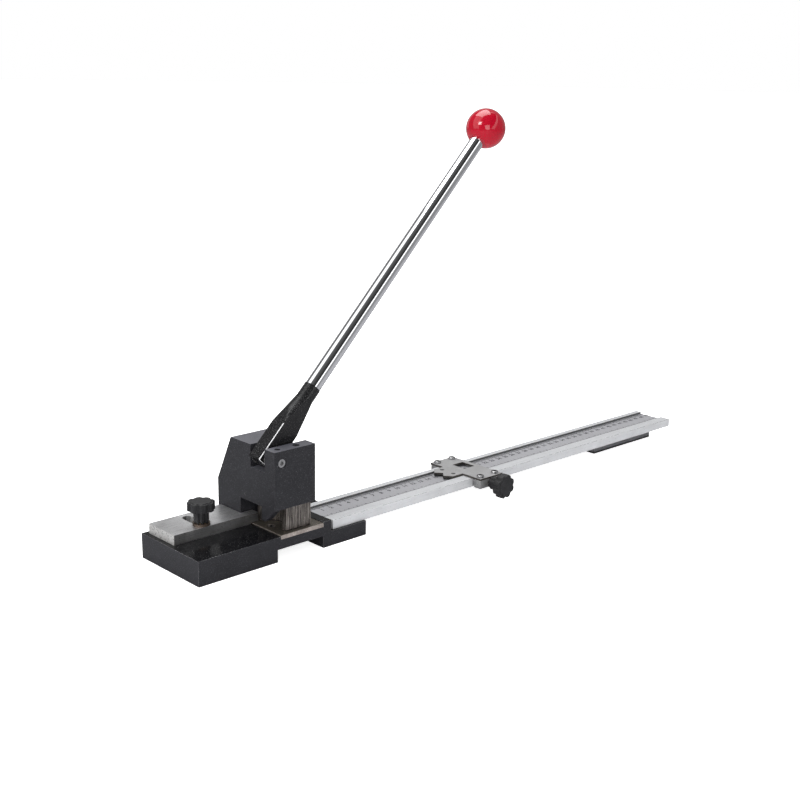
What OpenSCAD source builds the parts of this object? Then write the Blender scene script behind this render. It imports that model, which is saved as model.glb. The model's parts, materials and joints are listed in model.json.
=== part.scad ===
// Bench strap cutter: a lever-driven punch in a C-shaped head, a side fence for the
// incoming strap and a graduated outfeed rail with a sliding end stop.
// Millimetres, +X along the rail, +Y to the back, +Z up.
// The origin is the centre of the left foot's underside.
// Distances along the machine are taken from the base's left end and front face,
// and the functions px() and py() turn them into coordinates.

/* [Base] */
// Width of the base, front to back
base_w = 82; // [78:0.5:90]
// Length of the left foot
foot_left_l = 78; // [70:0.5:90]
// Length of the bridge between the feet
bridge_l = 48.8; // [44:0.2:56]
// Length of the right foot
foot_right_l = 48.3; // [40:0.1:60]
// Height of the base's top
base_h = 21.7; // [20:0.1:24]
// Clear height under the bridge
bridge_clear = 10.9; // [8:0.1:12]
// Height of the seat that carries the rail
seat_h = 13.2; // [12:0.1:15]
// Height of the lip between the die plate and the rail
lip_h = 23.5; // [22.8:0.1:25]
// Length of that lip
lip_l = 8.5; // [6:0.1:10]

/* [Die and punch] */
// Thickness of the die plate
die_t = 3.5; // [3:0.1:4]
// Height of the die plate's face
die_top = 22.7; // [22:0.1:23.4]
// Distance of the punch's centre from the base's left end
punch_x = 104.2; // [102:0.1:106]
// Distance of the tool's centre line from the base's front face
tool_y = 25; // [24:0.1:26]
// Size of the punch along the strap
punch_l = 26; // [24:0.2:28]
// Size of the punch across the strap
punch_w = 39; // [36:0.2:40]
// Radius of the round strap end that the punch cuts
strap_end_r = 14; // [13:0.2:15]
// Gap between the raised punch and the die plate in the rest pose
punch_gap = 0.5; // [0.4:0.1:2]
// Gap all round the punch in the die
die_fit = 0.1; // [0.08:0.01:0.15]

/* [Head] */
// Distance of the head's left face from the base's left end
head_x = 77; // [76:0.1:78]
// Length of the head along the rail
head_l = 42.6; // [42:0.1:44]
// Distance of the head's front face behind the base's front face
head_front = 2.3; // [1:0.1:3]
// Height of the head's top
head_top = 94.1; // [92:0.1:98]
// Height of the throat's ceiling
throat_top = 43.9; // [42:0.1:46]
// Depth of the throat from the base's front face
throat_y = 49.5; // [49.2:0.1:50.5]
// Width of the lever slot
slot_w = 19.2; // [19:0.1:20]
// Height of the lever slot's floor
slot_floor = 74.4; // [74:0.1:75]

/* [Lever] */
// Distance of the pivot from the base's left end
pivot_x = 85; // [84:0.1:86]
// Height of the pivot
pivot_z = 83.6; // [83:0.1:84.4]
// Angle of the lever above the horizontal in the rest pose
lever_angle = 45.8; // [44:0.1:48]
// Distance from the pivot to the middle of the ball
lever_l = 364.2; // [320:1:400]
// Diameter of the red ball
ball_d = 36; // [32:1:40]
// Diameter of the rod where it leaves the yoke
rod_d_low = 14.2; // [13:0.1:14.4]
// Diameter of the rod at the ball
rod_d_high = 13.2; // [12:0.1:14]
// Thickness of the yoke
yoke_t = 14.6; // [14:0.1:15]
// Height of the yoke's flat part
yoke_h = 20; // [19:0.5:20]

/* [Fence] */
// Thickness of the fence bar
fence_t = 8.7; // [8:0.1:9]
// Distance of the fence's guiding face from the base's front face
fence_y = 40.2; // [40:0.1:40.6]
// Width of the fence bar
fence_w = 37.2; // [36:0.1:38]
// Distance of the fence stud from the base's left end
fence_stud_x = 35.6; // [32:0.1:40]
// Travel of the fence towards the front
fence_travel = 18; // [15:0.5:18]

/* [Rail] */
// Distance of the rail's near end from the base's left end
rail_x = 139; // [138:0.5:141]
// Length of the rail
rail_l = 496; // [480:1:520]
// Width of the rail
rail_w = 45.6; // [45:0.1:46]
// Height of the rail's section
rail_h = 8.3; // [8:0.1:9]
// Width of the channel for the tape
channel_w = 27.4; // [27:0.1:28]
// Depth of the channel
channel_d = 2.3; // [2.1:0.1:2.6]

/* [Stop] */
// Distance of the stop body's middle from the base's left end
stop_x = 326.5; // [300:0.5:600]
// Length of the stop's clamp blocks
stop_l = 30; // [28:0.5:32]
// Thickness of the stop plate
stop_t = 1.9; // [1.5:0.1:3]

/* [Knobs] */
// Diameter of a star knob over its lobes
knob_d = 23.2; // [20:0.2:26]
// Diameter of a knob's hub
hub_d = 13.6; // [12:0.2:15]
// Height of a knob's lobed head
knob_head_h = 7.7; // [7:0.1:9]
// Height of a knob over all
knob_h = 18.3; // [17:0.1:20]

/* [Hidden] */
$fn = 64;

eps = 0.01;
fit = 0.05;                                   // running gap on a radius
function px(d) = d - foot_left_l / 2;
function py(d) = d - base_w / 2;

bridge_end = foot_left_l + bridge_l;
base_l = bridge_end + foot_right_l;
die_x = foot_left_l + 3.3;
die_l = bridge_end - die_x;
die_floor = die_top - die_t;
head_rear = base_w;
punch_bottom = die_top + punch_gap;
punch_h = 21.4;
ram_bottom = punch_bottom + punch_h;
ram_body_h = 12.9;
ram_top = ram_bottom + ram_body_h;
pocket_fit = 0.1;
die_pocket_fit = 0.2;                         // gap between the die plate and the head's foot
chute_fit = 0.8;                              // room round the punch in the base's chute

head_slope_z = 53.4;                          // where the head's back starts to slope
head_slope_y = 62.3;                          // rear edge of the head's top
lug_tip_y = 14.9;                             // lug on the left wall: its lowest point's front,
lug_rear_y = 20.2;                            // its rear,
lug_bottom = 32;                              // its underside
lug_t = 6;                                    // and its thickness
nose_relief = 3.5;                            // depth of the hollow in the slot's floor
bolt_d = 8;
bolt_head_d = 13;
bolt_head_h = 8;
bolt_l = 19;
bolt_sunk = 6;                                // depth of the bolt heads' recess in the bridge
bolt_edge = 8;                                // distance of the bolts from the head's edges
bolt_pitch = 16;
bolt_pts = [for (x = [head_x + bolt_edge, head_x + head_l - bolt_edge],
    y = [base_w - bolt_edge - bolt_pitch, base_w - bolt_edge]) [x, y]];
dowel_d = 6;
dowel_edge = 6;
dowel_pitch = 20;
dowel_pts = [for (y = [base_w - dowel_edge - dowel_pitch, base_w - dowel_edge])
    [head_x + head_l / 2, y]];
die_screw_d = 4;
die_screw_head_d = 6.6;
die_screw_l = 10;
die_screw_sunk = 0.2;
die_screw_front = [8.2, -1];                  // front pair: in from the die's end, from the tool's line
die_screw_rear = [4, 21.5];                   // rear pair
die_screw_pts = [for (p = [die_screw_front, die_screw_rear],
    x = [die_x + p[0], 2 * punch_x - die_x - p[0]]) [x, tool_y + p[1]]];
plug_d = 6;
plug_l = 8;
plug_sunk = 1;
plug_y = 16.5;                                // distance of the plugs from the tool's line
plug_pts = [for (s = [-1, 1]) [punch_x, tool_y + s * plug_y]];

link_angle = 15;                              // fall of the link pin below the pivot, at rest
link_x = punch_x - pivot_x;                   // reach from the pivot to the link pin
link_z = pivot_z - link_x * tan(link_angle);
link_d = 6;
ear_t = 4.4;
ear_gap = 0.3;                                // room between the nose and each ear
ear_r = 5.5;
nose_t = 9;
nose_r = 6.4;
nose_sweep = 4;                               // depth of the nose's relief in the ram
punch_screw_d = 6;
punch_screw_head_d = 10;
punch_screw_head_h = 6;
punch_screw_l = 18;
punch_thread_l = 12;
punch_screw_pts = [for (s = [-1, 1]) [0, s * 13.8]];

rod_start = 72;                               // where the rod leaves the yoke's collar
ball_flat = 15.8;                             // distance from the ball's middle to its flat
collar_r = yoke_t / 2 + 0.15;
collar_x = 60;                                // where the yoke's taper ends in its collar
taper_r = 8;                                  // radius where that taper starts, before the pivot
taper_x = 18;                                 // radius of the taper's root at the pivot
toe_l = 6.6;                                  // reach of the yoke behind the pivot
toe_d = 17.4;
bush_d = 10;
pin_d = 7;
pin_l = 46;
pin_sunk = 0.6;
pin_mouth_d = 8.8;
pin_mouth_l = 1.9;
pin_dimple_d = 3.6;
spacer_d = 14;
spacer_gap = 0.2;
grub_d = 5;
grub_y = 8.8;                                 // pivot set screw, from the base's front face
grub_sunk = 0.8;
rod_grub_x = rod_start - 14;
spigot_d = 10;                                // the rod's lower spigot, inside the yoke
spigot_l = 27;
tip_d = 8;                                    // the rod's upper spigot, inside the ball
tip_l = 12;
ball_insert_d = 12;
ball_insert_l = 14;

fence_x = 4.5;
fence_end = head_x - 0.6;
tongue_end = 88.5;
tongue_w = 8.8;
fence_stud_y = fence_y + 7;
slot_r = 4.3;
washer_t = 2.2;
washer_d = 14.6;
stud_d = 8;
stud_sunk = 14;                               // length of the fence stud inside the base
stud_grip = 11;                               // length of the stud inside the knob
insert_h = 12;
fence_insert_d = 10.6;
die_clear = 0.25;                             // gap between the tongue and the die plate

rail_top = seat_h + rail_h;
rail_y = tool_y - rail_w / 2;
channel_y = tool_y + 2.5 - channel_w / 2;
tape_t = 0.5;
tape_w = 25.4;
rail_screw_d = 5;
rail_screw_hole_d = 5.4;
rail_head_d = 8.5;
rail_head_hole_d = 9.6;
rail_head_h = 5;
rail_head_sunk = 6;
rail_thread_l = 5;
rail_screw_pts = [for (x = [rail_x + 8, rail_x + 28], y = [tool_y - 14, tool_y + 14]) [x, y]];
foot_x = 520;
foot_l = 100;
foot_w = 15;
foot_pad_t = 2;
foot_head_sunk = 5.5;
foot_screw_in = 20;                           // distance of the foot's screws from its ends
foot_screw_pts = [for (x = [foot_x + foot_screw_in, foot_x + foot_l - foot_screw_in]) [x, tool_y]];

stop_gap = 0.1;                               // running gap between the stop plate and the rail
stop_z = rail_top + stop_gap;
stop_front = rail_y - 11.2;
stop_rear = rail_y + rail_w + 10.2;
stop_block_h = 8;
stop_block_z = stop_z - stop_block_h;
block_front_w = 8;
pad_t = 1.7;
pad_gap = 0.1;
tongue_y = channel_y + channel_w / 2;
tongue_half = channel_w / 2 - 0.5;
tongue_tip = stop_x - 33.9;
tongue_z = rail_top - channel_d + tape_t + 0.2;
stop_left = stop_x - stop_l / 2;
stop_right = stop_left + stop_l + 1;
stop_screw_pts = concat(
    [for (x = [-10.2, 9.8]) [stop_x + x, stop_front + 4.8]],
    [for (x = [-10.2, 9.8]) [stop_x + x, stop_rear - 5]]);
stop_screw_d = 4;
stop_thread_l = 6.5;
tongue_screw_d = 2.5;
tongue_screw_head_d = 4.4;
tongue_screw_pts = [for (s = [-1, 1]) [stop_x - 22, tongue_y + s * 7.5]];
window_x = [-3, 10.7];                        // window's ends, from the stop's middle
window_y = [-1.8, 14.3];                      // window's sides, from the tool's line
stop_stud_d = 6;
stop_tip_d = 4;                               // spigot that turns inside the pad
stop_tip_l = 2.2;
stop_tip_play = 0.4;
stop_insert_d = 8.6;
stop_knob_z = stop_block_z + stop_block_h / 2;
stop_knob_y = stop_front - 1.5;

// ---------- helpers ----------

// A block between two corners, in distances from the left end and the front face
module block(x0, x1, y0, y1, z0, z1)
    translate([px(x0), py(y0), z0]) cube([x1 - x0, y1 - y0, z1 - z0]);

// An upright cylinder at a point given by its distances
module post(p, d, z0, z1) translate([px(p[0]), py(p[1]), z0]) cylinder(d = d, h = z1 - z0);

// A socket cap screw, head up, its head's seat at z = 0, with a hexagon socket
module cap_screw(d, l, head_d, head_h, key)
    difference() {
        union() {
            translate([0, 0, -l]) cylinder(d = d, h = l);
            cylinder(d = head_d, h = head_h);
        }
        translate([0, 0, head_h * 0.45]) cylinder(d = key, h = head_h, $fn = 6);
    }

// A flat-headed screw, its face at z = 0
module flat_screw(d, l, head_d)
    difference() {
        union() {
            translate([0, 0, -l]) cylinder(d = d, h = l);
            translate([0, 0, -(head_d - d) / 2]) cylinder(d1 = d, d2 = head_d, h = (head_d - d) / 2);
        }
        translate([0, 0, -1.4]) cylinder(d = d * 0.6, h = 2, $fn = 6);
    }

// The hole that a flat-headed screw sits in
module flat_screw_hole(d, l, head_d) {
    translate([0, 0, -l]) cylinder(d = d, h = l + 1);
    translate([0, 0, -(head_d - d) / 2]) cylinder(d1 = d, d2 = head_d, h = (head_d - d) / 2);
    translate([0, 0, -eps]) cylinder(d = head_d, h = 1);
}

// A grub screw, its socketed face at z = 0
module grub_screw(d, l)
    difference() {
        translate([0, 0, -l]) cylinder(d = d, h = l);
        translate([0, 0, -1.8]) cylinder(d = d * 0.55, h = 2, $fn = 6);
    }

// Outline of the punch: a block with a round hollow in each end, grown by c
module punch_outline(c = 0)
    difference() {
        square([punch_l + 2 * c, punch_w + 2 * c], center = true);
        for (s = [-1, 1])
            translate([s * (punch_l / 2 + 3.2), 0]) circle(r = strap_end_r - c, $fn = 96);
    }

// A lobed knob with its hub, standing on z = 0, bored for its insert
module star_knob(insert_d, bore_h)
    difference() {
        union() {
            cylinder(d1 = hub_d, d2 = hub_d + 1.2, h = knob_h - knob_head_h + eps);
            translate([0, 0, knob_h - knob_head_h]) difference() {
                cylinder(d = knob_d, h = knob_head_h);
                for (a = [0 : 45 : 315])
                    rotate(a + 22.5) translate([knob_d / 2 + 1.3, 0, -1])
                        cylinder(d = 5.6, h = knob_head_h + 2, $fn = 32);
            }
        }
        translate([0, 0, -1]) cylinder(d = insert_d, h = bore_h + 1);
    }

// Places its children in the lever's own frame: pivot at the origin, rod along +X
module on_lever(y = tool_y)
    translate([px(pivot_x), py(y), pivot_z]) rotate([0, -lever_angle, 0]) children();

// A cylinder along Y, centred on the tool's centre line
module cross_pin(d, w) rotate([90, 0, 0]) cylinder(d = d, h = w, center = true);

// ---------- base ----------

module base() {
    color([0.12, 0.12, 0.14])
    difference() {
        union() {
            block(0, foot_left_l, 0, base_w, 0, base_h);
            block(foot_left_l - eps, bridge_end + eps, 0, base_w, bridge_clear, base_h);
            block(bridge_end, bridge_end + lip_l, 0, base_w, 0, lip_h);
            block(bridge_end + lip_l - eps, base_l, 0, base_w, 0, seat_h);
        }
        // pocket for the die plate and the chute below it
        block(die_x, bridge_end, -1, throat_y, die_floor, lip_h + 1);
        translate([px(punch_x), py(tool_y), 0]) linear_extrude(base_h + 2) punch_outline(chute_fit);
        for (p = die_screw_pts) post(p, die_screw_d, bridge_clear - 1, die_floor + 1);
        // bolts and dowels that hold the head
        for (p = bolt_pts) {
            post(p, bolt_d + 0.4, bridge_clear - 1, base_h + 1);
            post(p, bolt_head_d + 0.6, bridge_clear - 1, bridge_clear + bolt_sunk);
        }
        for (p = dowel_pts) post(p, dowel_d, bridge_clear - 1, base_h + 1);
        // stud of the fence, and the rail's screws
        post([fence_stud_x, fence_stud_y], stud_d, base_h - stud_sunk, base_h + 1);
        for (p = rail_screw_pts) {
            post(p, rail_screw_hole_d, -1, seat_h + 1);
            post(p, rail_head_hole_d, -1, rail_head_sunk);
        }
    }
}

// ---------- head ----------

module head_block() {
    slot_y = tool_y - slot_w / 2;
    color([0.13, 0.13, 0.15])
    difference() {
        union() {
            // main block with its sloping back
            translate([px(head_x), 0, 0]) rotate([90, 0, 90]) linear_extrude(head_l)
                polygon([[py(head_front), throat_top], [py(throat_y), throat_top],
                    [py(throat_y), base_h], [py(head_rear), base_h], [py(head_rear), head_slope_z],
                    [py(head_slope_y), head_top], [py(head_front), head_top]]);
            // lug that hangs from the left wall in front of the window
            translate([px(head_x), 0, 0]) rotate([90, 0, 90]) linear_extrude(lug_t)
                polygon([[py(head_front), throat_top + 1], [py(head_front), throat_top],
                    [py(lug_tip_y), lug_bottom], [py(lug_rear_y), lug_bottom],
                    [py(lug_rear_y), throat_top + 1]]);
        }
        // lever slot, open at both ends
        block(head_x - 1, head_x + head_l + 1, slot_y, slot_y + slot_w, slot_floor, head_top + 1);
        // pocket that guides the ram
        translate([px(punch_x), py(tool_y), throat_top - 1])
            linear_extrude(slot_floor - throat_top + 1 + eps)
                square([punch_l + 2 * pocket_fit, punch_w + 2 * pocket_fit], center = true);
        // relief for the yoke's nose in the slot's floor
        block(pivot_x + 1, punch_x, tool_y - nose_t / 2 - 0.5, tool_y + nose_t / 2 + 0.5,
            slot_floor - nose_relief, slot_floor + 1);
        // pivot bore with a sunk mouth
        translate([px(pivot_x), py(head_front) - 1, pivot_z]) rotate([-90, 0, 0]) {
            cylinder(d = pin_d, h = pin_l + 3);
            cylinder(d = pin_mouth_d, h = pin_mouth_l);
        }
        post([pivot_x, grub_y], grub_d, pivot_z, head_top + 1);
        for (p = plug_pts) post(p, plug_d, slot_floor - 1, head_top + 1);
        for (p = bolt_pts) post(p, bolt_d, base_h - 1, base_h + 16);
        for (p = dowel_pts) post(p, dowel_d, base_h - 1, base_h + 13);
    }
}

module head_bolts() {
    color([0.2, 0.2, 0.22])
    for (p = bolt_pts) translate([px(p[0]), py(p[1]), bridge_clear + bolt_sunk])
        rotate([180, 0, 0]) cap_screw(bolt_d, bolt_l, bolt_head_d, bolt_head_h, 6);
}

module head_dowels() {
    color([0.7, 0.7, 0.72]) for (p = dowel_pts) post(p, dowel_d, bridge_clear + 0.5, base_h + 12.5);
}

module oil_plugs() {
    color([0.16, 0.16, 0.17])
    for (p = plug_pts) translate([px(p[0]), py(p[1]), head_top - plug_sunk]) grub_screw(plug_d, plug_l);
}

// ---------- die and punch ----------

module die_plate() {
    color([0.42, 0.36, 0.3])
    difference() {
        block(die_x, bridge_end, 0, throat_y - die_pocket_fit, die_floor, die_top);
        translate([px(punch_x), py(tool_y), 0]) linear_extrude(die_top + 1) punch_outline(die_fit);
        for (p = die_screw_pts) translate([px(p[0]), py(p[1]), die_top - die_screw_sunk])
            flat_screw_hole(die_screw_d, 6, die_screw_head_d);
    }
}

module die_screws() {
    color([0.6, 0.6, 0.62])
    for (p = die_screw_pts) translate([px(p[0]), py(p[1]), die_top - die_screw_sunk])
        flat_screw(die_screw_d, die_screw_l, die_screw_head_d);
}

module punch() {
    color([0.45, 0.4, 0.36])
    translate([px(punch_x), py(tool_y), punch_bottom]) difference() {
        linear_extrude(punch_h) punch_outline();
        for (p = punch_screw_pts) translate([p[0], p[1], punch_h - punch_thread_l])
            cylinder(d = punch_screw_d, h = punch_thread_l + 1);
    }
}

module punch_screws() {
    color([0.2, 0.2, 0.22])
    translate([px(punch_x), py(tool_y), ram_top - punch_screw_head_h])
        for (p = punch_screw_pts) translate([p[0], p[1], 0])
            cap_screw(punch_screw_d, punch_screw_l, punch_screw_head_d, punch_screw_head_h, 5);
}

// ---------- ram ----------

module ram() {
    color([0.35, 0.35, 0.37])
    translate([px(punch_x), py(tool_y), 0]) difference() {
        union() {
            translate([-punch_l / 2, -punch_w / 2, ram_bottom]) cube([punch_l, punch_w, ram_body_h]);
            // two ears that carry the link pin
            for (s = [-1, 1]) translate([0, s * (nose_t / 2 + ear_gap + ear_t / 2), 0]) {
                translate([-ear_r, -ear_t / 2, ram_top - eps])
                    cube([2 * ear_r, ear_t, link_z - ram_top + eps]);
                translate([0, 0, link_z]) cross_pin(2 * ear_r, ear_t);
            }
        }
        translate([0, 0, link_z]) cross_pin(link_d, slot_w + 2);
        for (p = punch_screw_pts) translate([p[0], p[1], 0]) {
            translate([0, 0, ram_bottom - 1]) cylinder(d = punch_screw_d + 0.4, h = ram_body_h + 2);
            translate([0, 0, ram_top - punch_screw_head_h])
                cylinder(d = punch_screw_head_d + 0.6, h = punch_screw_head_h + 1);
        }
        // relief for the tip of the yoke's nose
        translate([-punch_l / 2 - 1, -nose_t / 2 - ear_gap, ram_top - nose_sweep])
            cube([punch_l + 2, nose_t + 2 * ear_gap, nose_sweep + 1]);
    }
}

module ram_pin() {
    color([0.75, 0.75, 0.78])
    translate([px(punch_x), py(tool_y), link_z]) cross_pin(link_d, 2 * (ear_t + ear_gap) + nose_t);
}

// ---------- lever ----------

// A turned taper milled flat on four sides, with a nose for the link pin
module lever_yoke() {
    // the link pin slides from near to far along this slot as the lever swings
    pin_near = link_x - 0.1;
    pin_far = 22.3;
    slot_play = 0.75;
    color([0.1, 0.1, 0.11])
    on_lever() difference() {
        union() {
            intersection() {
                translate([-toe_l, -yoke_t / 2, -yoke_h / 2])
                    cube([rod_start + toe_l, yoke_t, yoke_h]);
                rotate([0, 90, 0]) rotate_extrude($fn = 96)
                    polygon([[0, -taper_r], [taper_x, -taper_r], [collar_r, collar_x],
                        [collar_r, rod_start], [0, rod_start]]);
                union() {
                    translate([0, -20, -20]) cube([100, 40, 40]);
                    translate([-20, -20, 0]) cube([40, 40, 40]);
                    cross_pin(toe_d, 40);
                }
            }
            rotate([0, lever_angle + link_angle, 0]) {
                translate([0, -nose_t / 2, -nose_r]) cube([pin_far, nose_t, 2 * nose_r]);
                translate([pin_far, 0, 0]) cross_pin(2 * nose_r, nose_t);
            }
        }
        cross_pin(bush_d, yoke_t + 2);
        rotate([0, lever_angle + link_angle, 0]) {
            translate([pin_near, 0, 0]) cross_pin(link_d + 2 * slot_play, nose_t + 2);
            translate([pin_far, 0, 0]) cross_pin(link_d + 2 * slot_play, nose_t + 2);
            translate([pin_near, -nose_t, -link_d / 2 - slot_play])
                cube([pin_far - pin_near, 2 * nose_t, link_d + 2 * slot_play]);
        }
        translate([rod_start - spigot_l - 1, 0, 0]) rotate([0, 90, 0])
            cylinder(d = spigot_d, h = spigot_l + 3);
        translate([rod_grub_x, 0, -4]) rotate([180, 0, 0]) cylinder(d = grub_d, h = 20);
    }
}

module yoke_bush() {
    color([0.66, 0.5, 0.25])
    translate([px(pivot_x), py(tool_y), pivot_z]) difference() {
        cross_pin(bush_d, yoke_t);
        cross_pin(pin_d + 2 * fit, yoke_t + 2);
    }
}

module yoke_spacers() {
    color([0.6, 0.6, 0.62])
    translate([px(pivot_x), py(tool_y), pivot_z]) for (s = [-1, 1])
        translate([0, s * (slot_w + yoke_t) / 4, 0]) difference() {
            cross_pin(spacer_d, (slot_w - yoke_t) / 2 - spacer_gap);
            cross_pin(pin_d, 10);
        }
}

module pivot_pin() {
    color([0.72, 0.72, 0.74])
    translate([px(pivot_x), py(head_front) + pin_sunk, pivot_z]) rotate([-90, 0, 0]) difference() {
        cylinder(d = pin_d, h = pin_l);
        translate([0, 0, -1]) cylinder(d = pin_dimple_d, h = 4);
    }
}

module pivot_set_screw() {
    color([0.3, 0.3, 0.32])
    translate([px(pivot_x), py(grub_y), head_top - grub_sunk])
        grub_screw(grub_d, head_top - grub_sunk - pivot_z - pin_d / 2);
}

module rod_set_screw() {
    face = collar_r - 0.2;
    color([0.2, 0.2, 0.22])
    on_lever() translate([rod_grub_x, 0, -face]) rotate([180, 0, 0])
        grub_screw(grub_d, face - spigot_d / 2);
}

module lever_rod() {
    color([0.82, 0.83, 0.85])
    on_lever() rotate([0, 90, 0]) {
        translate([0, 0, rod_start - spigot_l]) cylinder(d = spigot_d, h = spigot_l + eps);
        translate([0, 0, rod_start]) cylinder(d1 = rod_d_low, d2 = rod_d_high,
            h = lever_l - ball_flat - rod_start);
        translate([0, 0, lever_l - ball_flat - eps]) cylinder(d = tip_d, h = tip_l);
    }
}

module ball_knob() {
    color([0.8, 0.03, 0.05])
    on_lever() translate([lever_l, 0, 0]) difference() {
        sphere(d = ball_d, $fn = 96);
        translate([-ball_d - ball_flat, -ball_d, -ball_d]) cube([ball_d, 2 * ball_d, 2 * ball_d]);
        translate([-ball_flat - 1, 0, 0]) rotate([0, 90, 0])
            cylinder(d = ball_insert_d, h = ball_insert_l + 1);
    }
}

module ball_insert() {
    color([0.75, 0.6, 0.3])
    on_lever() translate([lever_l - ball_flat, 0, 0]) rotate([0, 90, 0]) difference() {
        cylinder(d = ball_insert_d, h = ball_insert_l);
        translate([0, 0, -1]) cylinder(d = tip_d, h = tip_l + 1.4);
    }
}

// ---------- fence ----------

module fence_bar() {
    near = fence_stud_y - 0.5;
    far = fence_stud_y + fence_travel + 2.7;
    z0 = base_h + fit;
    z1 = z0 + fence_t;
    color([0.66, 0.66, 0.66])
    difference() {
        union() {
            block(fence_x, fence_end, fence_y, fence_y + fence_w, z0, z1);
            block(fence_end - eps, tongue_end, fence_y, fence_y + tongue_w, z0, z1);
        }
        post([fence_stud_x, near], 2 * slot_r, base_h - 1, z1 + 1);
        post([fence_stud_x, far], 2 * slot_r, base_h - 1, z1 + 1);
        block(fence_stud_x - slot_r, fence_stud_x + slot_r, near, far, base_h - 1, z1 + 1);
        // the tongue clears the die plate
        block(die_x - 1, tongue_end + 1, fence_y - 1, fence_y + tongue_w + 1, base_h - 1,
            die_top + die_clear);
    }
}

module fence_stud() {
    color([0.6, 0.6, 0.62])
    post([fence_stud_x, fence_stud_y], stud_d, base_h - stud_sunk,
        base_h + fence_t + washer_t + stud_grip);
}

module fence_washer() {
    z0 = base_h + fence_t + 2 * fit;
    color([0.4, 0.3, 0.24])
    difference() {
        post([fence_stud_x, fence_stud_y], washer_d, z0, z0 + washer_t);
        post([fence_stud_x, fence_stud_y], stud_d, z0 - 1, z0 + washer_t + 1);
    }
}

fence_knob_z = base_h + fence_t + washer_t + 3 * fit;

module fence_knob() {
    color([0.09, 0.09, 0.1])
    translate([px(fence_stud_x), py(fence_stud_y), fence_knob_z])
        star_knob(fence_insert_d, insert_h);
}

module fence_knob_insert() {
    color([0.75, 0.6, 0.3])
    translate([px(fence_stud_x), py(fence_stud_y), fence_knob_z]) difference() {
        cylinder(d = fence_insert_d, h = insert_h);
        translate([0, 0, -1]) cylinder(d = stud_d + 2 * fit, h = insert_h + 0.6);
    }
}

// ---------- rail ----------

module rail() {
    color([0.78, 0.79, 0.8])
    difference() {
        block(rail_x, rail_x + rail_l, rail_y, rail_y + rail_w, seat_h, rail_top);
        block(rail_x - 1, rail_x + rail_l + 1, channel_y, channel_y + channel_w,
            rail_top - channel_d, rail_top + 1);
        for (p = concat(rail_screw_pts, foot_screw_pts))
            post(p, rail_screw_d, seat_h - 1, seat_h + rail_thread_l);
    }
}

module scale_tape() {
    z0 = rail_top - channel_d;
    y0 = channel_y + (channel_w - tape_w) / 2;
    color([0.62, 0.62, 0.63])
    block(rail_x + 0.5, rail_x + rail_l - 1, y0, y0 + tape_w, z0, z0 + tape_t);
}

module rail_screws() {
    color([0.2, 0.2, 0.22])
    for (p = rail_screw_pts) translate([px(p[0]), py(p[1]), rail_head_sunk])
        rotate([180, 0, 0]) cap_screw(rail_screw_d, 11.5, rail_head_d, rail_head_h, 4);
}

module rail_foot() {
    color([0.5, 0.5, 0.52])
    difference() {
        block(foot_x, foot_x + foot_l, tool_y - foot_w / 2, tool_y + foot_w / 2, foot_pad_t, seat_h);
        for (p = foot_screw_pts) {
            post(p, rail_screw_hole_d, 0, seat_h + 1);
            post(p, rail_head_hole_d, 0, foot_pad_t + foot_head_sunk);
        }
    }
}

module rail_foot_pad() {
    color([0.06, 0.06, 0.06])
    block(foot_x, foot_x + foot_l, tool_y - foot_w / 2, tool_y + foot_w / 2, 0, foot_pad_t);
}

module rail_foot_screws() {
    color([0.2, 0.2, 0.22])
    for (p = foot_screw_pts) translate([px(p[0]), py(p[1]), foot_pad_t + foot_head_sunk])
        rotate([180, 0, 0]) cap_screw(rail_screw_d, 10, rail_head_d, rail_head_h, 4);
}

// ---------- stop ----------

// Corners of the stop's tongue: its end is notched to centre a rounded strap end
notch_half = 6.2;
tongue_pts = [[stop_left, tongue_y + tongue_half], [tongue_tip + 7, tongue_y + tongue_half],
    [tongue_tip, tongue_y + notch_half], [tongue_tip + 5.6, tongue_y],
    [tongue_tip, tongue_y - notch_half], [tongue_tip + 5.4, tongue_y - tongue_half],
    [stop_left, tongue_y - tongue_half]];

module stop_plate() {
    color([0.62, 0.61, 0.59])
    difference() {
        translate([px(0), py(0), stop_z]) linear_extrude(stop_t)
            polygon(concat([[stop_left, stop_front], [stop_right, stop_front],
                [stop_right, stop_rear], [stop_left, stop_rear]], tongue_pts));
        // window over the scale
        block(stop_x + window_x[0], stop_x + window_x[1], tool_y + window_y[0],
            tool_y + window_y[1], stop_z - 1, stop_z + stop_t + 1);
        for (p = stop_screw_pts) post(p, stop_screw_d + 0.3, stop_z - 1, stop_z + stop_t + 1);
        for (p = tongue_screw_pts) translate([px(p[0]), py(p[1]), stop_z + stop_t])
            flat_screw_hole(tongue_screw_d, 3, tongue_screw_head_d);
    }
}

module stop_tongue() {
    color([0.14, 0.14, 0.15])
    difference() {
        translate([px(0), py(0), tongue_z]) linear_extrude(stop_z - tongue_z) polygon(tongue_pts);
        for (p = tongue_screw_pts) post(p, tongue_screw_d, stop_z - 1.4, stop_z + 1);
    }
}

module stop_tongue_screws() {
    color([0.5, 0.5, 0.52])
    for (p = tongue_screw_pts) translate([px(p[0]), py(p[1]), stop_z + stop_t])
        flat_screw(tongue_screw_d, 3.2, tongue_screw_head_d);
}

module stop_front_block() {
    color([0.6, 0.6, 0.6])
    difference() {
        block(stop_left, stop_left + stop_l, stop_front, stop_front + block_front_w,
            stop_block_z, stop_z);
        for (p = stop_screw_pts) post(p, stop_screw_d, stop_z - stop_thread_l, stop_z + 1);
        translate([px(stop_x), py(stop_front) - 1, stop_knob_z]) rotate([-90, 0, 0])
            cylinder(d = stop_stud_d + 2 * fit, h = block_front_w + 2);
    }
}

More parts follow.
